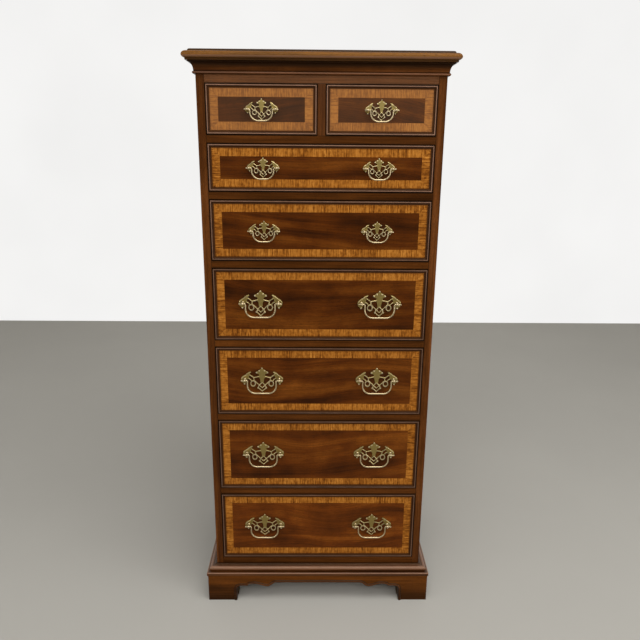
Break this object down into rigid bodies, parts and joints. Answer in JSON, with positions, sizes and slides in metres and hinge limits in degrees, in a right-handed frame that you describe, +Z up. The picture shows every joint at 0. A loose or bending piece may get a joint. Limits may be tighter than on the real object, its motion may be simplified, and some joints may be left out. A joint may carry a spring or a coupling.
{
  "type": "tall chest of drawers",
  "caption": "Tall narrow chest of drawers on a bracket base: short drawers over long ones, crossbanded fronts, pierced brass pulls with swinging bails.",
  "frame": {"origin": "on the floor under the middle of the whole chest", "axes": "+X to the right, +Z up, the drawers face -Y"},
  "size_m": [0.609, 0.431, 1.418],
  "materials": {
    "case_mahogany": "satin lacquer over dark stained mahogany",
    "front_mahogany": "satin lacquer over figured mahogany",
    "crossbanding": "satin lacquer over golden crossbanded veneer",
    "drawer_wood": "clear sealed pale hardwood",
    "inner_wood": "bare pale hardwood",
    "back_board": "thin stained plywood",
    "antique_brass": "antiqued cast brass, dark in its recesses"
  },
  "bodies": {
    "case": {"top_slab": "case_mahogany", "cornice_moulding": "case_mahogany", "left_side": "case_mahogany", "right_side": "case_mahogany", "back_panel": "back_board", "drawer_rails": "case_mahogany", "centre_mullion": "case_mahogany", "drawer_runners": "inner_wood", "dust_panels": "inner_wood", "base_moulding": "case_mahogany", "base_frame": "inner_wood", "bracket_front": "case_mahogany", "bracket_sides": "case_mahogany", "foot_blocks": "inner_wood"},
    "top_left_drawer": {"top_left_front": "front_mahogany", "top_left_banding": "crossbanding", "top_left_box": "drawer_wood", "top_left_pulls": "antique_brass"},
    "top_left_bail": {"top_left_bail": "antique_brass"},
    "top_right_drawer": {"top_right_front": "front_mahogany", "top_right_banding": "crossbanding", "top_right_box": "drawer_wood", "top_right_pulls": "antique_brass"},
    "top_right_bail": {"top_right_bail": "antique_brass"},
    "second_drawer": {"second_front": "front_mahogany", "second_banding": "crossbanding", "second_box": "drawer_wood", "second_pulls": "antique_brass"},
    "second_left_bail": {"second_left_bail": "antique_brass"},
    "second_right_bail": {"second_right_bail": "antique_brass"},
    "third_drawer": {"third_front": "front_mahogany", "third_banding": "crossbanding", "third_box": "drawer_wood", "third_pulls": "antique_brass"},
    "third_left_bail": {"third_left_bail": "antique_brass"},
    "third_right_bail": {"third_right_bail": "antique_brass"},
    "fourth_drawer": {"fourth_front": "front_mahogany", "fourth_banding": "crossbanding", "fourth_box": "drawer_wood", "fourth_pulls": "antique_brass"},
    "fourth_left_bail": {"fourth_left_bail": "antique_brass"},
    "fourth_right_bail": {"fourth_right_bail": "antique_brass"},
    "fifth_drawer": {"fifth_front": "front_mahogany", "fifth_banding": "crossbanding", "fifth_box": "drawer_wood", "fifth_pulls": "antique_brass"},
    "fifth_left_bail": {"fifth_left_bail": "antique_brass"},
    "fifth_right_bail": {"fifth_right_bail": "antique_brass"},
    "sixth_drawer": {"sixth_front": "front_mahogany", "sixth_banding": "crossbanding", "sixth_box": "drawer_wood", "sixth_pulls": "antique_brass"},
    "sixth_left_bail": {"sixth_left_bail": "antique_brass"},
    "sixth_right_bail": {"sixth_right_bail": "antique_brass"},
    "bottom_drawer": {"bottom_front": "front_mahogany", "bottom_banding": "crossbanding", "bottom_box": "drawer_wood", "bottom_pulls": "antique_brass"},
    "bottom_left_bail": {"bottom_left_bail": "antique_brass"},
    "bottom_right_bail": {"bottom_right_bail": "antique_brass"}
  },
  "joints": [
    {"name": "top_left_slide", "type": "slide", "parent": "case", "child": "top_left_drawer", "axis": [0, -1, 0], "range_m": [0, 0.3]},
    {"name": "top_left_bail_swing", "type": "hinge", "parent": "top_left_drawer", "child": "top_left_bail", "pos_m": [-0.13475, -0.203, 1.294], "axis": [-1, 0, 0], "range_deg": [-12, 160]},
    {"name": "top_right_slide", "type": "slide", "parent": "case", "child": "top_right_drawer", "axis": [0, -1, 0], "range_m": [0, 0.3]},
    {"name": "top_right_bail_swing", "type": "hinge", "parent": "top_right_drawer", "child": "top_right_bail", "pos_m": [0.13475, -0.203, 1.294], "axis": [-1, 0, 0], "range_deg": [-12, 160]},
    {"name": "second_slide", "type": "slide", "parent": "case", "child": "second_drawer", "axis": [0, -1, 0], "range_m": [0, 0.3]},
    {"name": "second_left_bail_swing", "type": "hinge", "parent": "second_drawer", "child": "second_left_bail", "pos_m": [-0.1335, -0.203, 1.167], "axis": [-1, 0, 0], "range_deg": [-12, 160]},
    {"name": "second_right_bail_swing", "type": "hinge", "parent": "second_drawer", "child": "second_right_bail", "pos_m": [0.1335, -0.203, 1.167], "axis": [-1, 0, 0], "range_deg": [-12, 160]},
    {"name": "third_slide", "type": "slide", "parent": "case", "child": "third_drawer", "axis": [0, -1, 0], "range_m": [0, 0.3]},
    {"name": "third_left_bail_swing", "type": "hinge", "parent": "third_drawer", "child": "third_left_bail", "pos_m": [-0.1335, -0.203, 1.023], "axis": [-1, 0, 0], "range_deg": [-12, 160]},
    {"name": "third_right_bail_swing", "type": "hinge", "parent": "third_drawer", "child": "third_right_bail", "pos_m": [0.1335, -0.203, 1.023], "axis": [-1, 0, 0], "range_deg": [-12, 160]},
    {"name": "fourth_slide", "type": "slide", "parent": "case", "child": "fourth_drawer", "axis": [0, -1, 0], "range_m": [0, 0.3]},
    {"name": "fourth_left_bail_swing", "type": "hinge", "parent": "fourth_drawer", "child": "fourth_left_bail", "pos_m": [-0.145, -0.203, 0.8475], "axis": [-1, 0, 0], "range_deg": [-12, 160]},
    {"name": "fourth_right_bail_swing", "type": "hinge", "parent": "fourth_drawer", "child": "fourth_right_bail", "pos_m": [0.145, -0.203, 0.8475], "axis": [-1, 0, 0], "range_deg": [-12, 160]},
    {"name": "fifth_slide", "type": "slide", "parent": "case", "child": "fifth_drawer", "axis": [0, -1, 0], "range_m": [0, 0.3]},
    {"name": "fifth_left_bail_swing", "type": "hinge", "parent": "fifth_drawer", "child": "fifth_left_bail", "pos_m": [-0.145, -0.203, 0.6485], "axis": [-1, 0, 0], "range_deg": [-12, 160]},
    {"name": "fifth_right_bail_swing", "type": "hinge", "parent": "fifth_drawer", "child": "fifth_right_bail", "pos_m": [0.145, -0.203, 0.6485], "axis": [-1, 0, 0], "range_deg": [-12, 160]},
    {"name": "sixth_slide", "type": "slide", "parent": "case", "child": "sixth_drawer", "axis": [0, -1, 0], "range_m": [0, 0.3]},
    {"name": "sixth_left_bail_swing", "type": "hinge", "parent": "sixth_drawer", "child": "sixth_left_bail", "pos_m": [-0.145, -0.203, 0.44175], "axis": [-1, 0, 0], "range_deg": [-12, 160]},
    {"name": "sixth_right_bail_swing", "type": "hinge", "parent": "sixth_drawer", "child": "sixth_right_bail", "pos_m": [0.145, -0.203, 0.44175], "axis": [-1, 0, 0], "range_deg": [-12, 160]},
    {"name": "bottom_slide", "type": "slide", "parent": "case", "child": "bottom_drawer", "axis": [0, -1, 0], "range_m": [0, 0.3]},
    {"name": "bottom_left_bail_swing", "type": "hinge", "parent": "bottom_drawer", "child": "bottom_left_bail", "pos_m": [-0.145, -0.203, 0.22725], "axis": [-1, 0, 0], "range_deg": [-12, 160]},
    {"name": "bottom_right_bail_swing", "type": "hinge", "parent": "bottom_drawer", "child": "bottom_right_bail", "pos_m": [0.145, -0.203, 0.22725], "axis": [-1, 0, 0], "range_deg": [-12, 160]}
  ]
}
